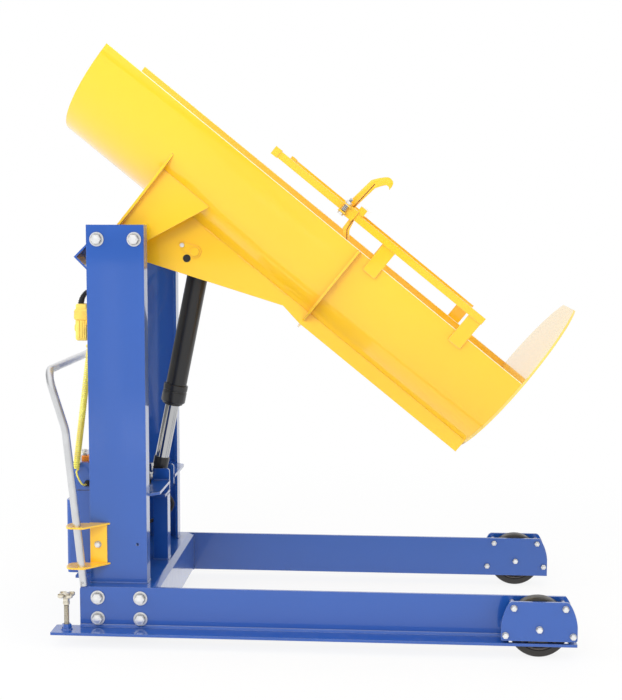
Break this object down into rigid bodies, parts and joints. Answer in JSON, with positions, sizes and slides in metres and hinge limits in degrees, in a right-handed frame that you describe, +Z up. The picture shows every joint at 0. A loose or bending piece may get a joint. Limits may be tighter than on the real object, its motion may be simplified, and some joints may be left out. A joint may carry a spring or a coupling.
{
  "type": "drum tipper",
  "caption": "Hydraulic drum tipper: a half-round chute with end disc and sliding rim clamp tilts between uprights on a wheeled leg base, with push handle, power unit and corded pendant.",
  "frame": {"origin": "on the floor, under the middle of the overall box", "axes": "+X forward along the legs to the front wheels, +Y to the machine's left, +Z up"},
  "size_m": [1.8148, 0.9798, 2.0335],
  "materials": {
    "blue_paint": "gloss enamel",
    "yellow_paint": "gloss enamel",
    "disc_paint": "pale gloss enamel",
    "zinc_steel": "bright zinc plate",
    "cast_grey": "painted casting",
    "black_paint": "satin enamel",
    "chrome": "hard chrome",
    "wheel_rubber": "moulded, dull",
    "handle_tube": "satin",
    "pendant_plastic": "moulded",
    "black_rubber": "dull",
    "cord_plastic": "extruded jacket",
    "button_plastic": "moulded",
    "cap_plastic": "moulded"
  },
  "bodies": {
    "base": {"base_pan": "blue_paint", "battery_box": "blue_paint", "bearing_bolts": "zinc_steel", "bearing_housings": "cast_grey", "bracket_bolts": "zinc_steel", "caster_mounts": "zinc_steel", "cord_gland": "black_rubber", "cradle_arms": "blue_paint", "cradle_cheeks": "blue_paint", "curly_cord": "cord_plastic", "cylinder_stand": "blue_paint", "handle_brackets": "yellow_paint", "left_leg": "blue_paint", "left_upright": "blue_paint", "leg_bolts": "zinc_steel", "lock_nuts": "blue_paint", "pendant_boot": "black_rubber", "pendant_hanger": "yellow_paint", "pendant_shell": "pendant_plastic", "pressure_hose": "black_rubber", "pump_motor": "black_paint", "pump_tank": "blue_paint", "pump_valve_block": "cast_grey", "push_handle": "handle_tube", "rear_cross_tie": "blue_paint", "right_leg": "blue_paint", "right_upright": "blue_paint", "tank_filler_cap": "cap_plastic", "wheel_fasteners": "zinc_steel", "wheel_plates": "blue_paint"},
    "chute": {"chute_shell": "yellow_paint", "base_disc": "disc_paint", "ring_rib": "yellow_paint", "side_plates": "yellow_paint", "hinge_ears": "yellow_paint", "saddle_plate": "yellow_paint", "pivot_shafts": "zinc_steel", "cylinder_pin": "yellow_paint", "pin_keeper": "yellow_paint", "clamp_bars": "yellow_paint", "clamp_posts": "yellow_paint"},
    "carriage": {"clamp_carriage": "yellow_paint", "clamp_bolt": "zinc_steel"},
    "lever": {"hook_lever": "yellow_paint"},
    "barrel": {"cylinder_barrel": "black_paint", "cylinder_gland": "black_paint"},
    "rod": {"cylinder_rod": "chrome", "rod_end": "black_paint"},
    "right_wheel": {"right_front_wheel": "wheel_rubber"},
    "right_caster": {"right_caster_fork": "zinc_steel"},
    "right_caster_roller": {"right_caster_wheel": "wheel_rubber"},
    "right_foot": {"right_lock_foot": "cast_grey"},
    "right_screw": {"right_lock_screw": "zinc_steel"},
    "left_wheel": {"left_front_wheel": "wheel_rubber"},
    "left_caster": {"left_caster_fork": "zinc_steel"},
    "left_caster_roller": {"left_caster_wheel": "wheel_rubber"},
    "left_foot": {"left_lock_foot": "cast_grey"},
    "left_screw": {"left_lock_screw": "zinc_steel"},
    "raise": {"raise_button": "button_plastic"},
    "lower": {"lower_button": "button_plastic"}
  },
  "joints": [
    {"name": "chute_tilt", "type": "hinge", "parent": "base", "child": "chute", "pos_m": [-0.6609, 0, 1.381], "axis": [0, -1, 0], "range_deg": [-50.9, 84]},
    {"name": "cylinder_swing", "type": "hinge", "parent": "chute", "child": "barrel", "pos_m": [-0.4189, 0, 1.336], "axis": [0, -1, 0], "range_deg": [-79.5, 48.5]},
    {"name": "rod_extend", "type": "slide", "parent": "barrel", "child": "rod", "axis": [-0.2006, 0, -0.9797], "range_m": [-0.1725, 0.2835]},
    {"name": "right_front_wheel_spin", "type": "hinge", "parent": "base", "child": "right_wheel", "pos_m": [0.7666, -0.4325, 0.1016], "axis": [0, 1, 0], "continuous": true},
    {"name": "right_caster_swivel", "type": "hinge", "parent": "base", "child": "right_caster", "pos_m": [-0.6809, -0.25, 0.12], "axis": [0, 0, 1], "continuous": true},
    {"name": "right_caster_spin", "type": "hinge", "parent": "right_caster", "child": "right_caster_roller", "pos_m": [-0.7129, -0.25, 0.0635], "axis": [0, 1, 0], "continuous": true},
    {"name": "right_lock_lift", "type": "slide", "parent": "base", "child": "right_foot", "axis": [0, 0, 1], "range_m": [-0.043, 0]},
    {"name": "right_lock_turn", "type": "hinge", "parent": "right_foot", "child": "right_screw", "pos_m": [-0.8294, -0.437, 0.1], "axis": [0, 0, 1], "range_deg": [-6098, 0]},
    {"name": "left_front_wheel_spin", "type": "hinge", "parent": "base", "child": "left_wheel", "pos_m": [0.7666, 0.4325, 0.1016], "axis": [0, 1, 0], "continuous": true},
    {"name": "left_caster_swivel", "type": "hinge", "parent": "base", "child": "left_caster", "pos_m": [-0.6809, 0.25, 0.12], "axis": [0, 0, 1], "continuous": true},
    {"name": "left_caster_spin", "type": "hinge", "parent": "left_caster", "child": "left_caster_roller", "pos_m": [-0.7129, 0.25, 0.0635], "axis": [0, 1, 0], "continuous": true},
    {"name": "left_lock_lift", "type": "slide", "parent": "base", "child": "left_foot", "axis": [0, 0, 1], "range_m": [-0.043, 0]},
    {"name": "left_lock_turn", "type": "hinge", "parent": "left_foot", "child": "left_screw", "pos_m": [-0.8294, 0.437, 0.1], "axis": [0, 0, 1], "range_deg": [-6098, 0]},
    {"name": "raise_press", "type": "slide", "parent": "base", "child": "raise", "axis": [1, 0, 0], "range_m": [0, 0.005], "stiffness_N_per_m": 400, "springref_m": -0.002},
    {"name": "lower_press", "type": "slide", "parent": "base", "child": "lower", "axis": [1, 0, 0], "range_m": [0, 0.005], "stiffness_N_per_m": 400, "springref_m": -0.002},
    {"name": "carriage_slide", "type": "slide", "parent": "chute", "child": "carriage", "axis": [0.7764, 0, -0.6303], "range_m": [-0.24, 0.1]},
    {"name": "lever_swing", "type": "hinge", "parent": "carriage", "child": "lever", "pos_m": [0.12926, -0.306, 1.47217], "axis": [0, -1, 0], "range_deg": [-3, 50]}
  ],
  "couplings": [
    {"joint": "cylinder_swing", "follows": "chute_tilt", "ratio": -0.9379},
    {"joint": "rod_extend", "follows": "chute_tilt", "m_per_rad": 0.19236},
    {"joint": "right_lock_turn", "follows": "right_lock_lift", "rad_per_m": 2475.2},
    {"joint": "left_lock_turn", "follows": "left_lock_lift", "rad_per_m": 2475.2}
  ]
}
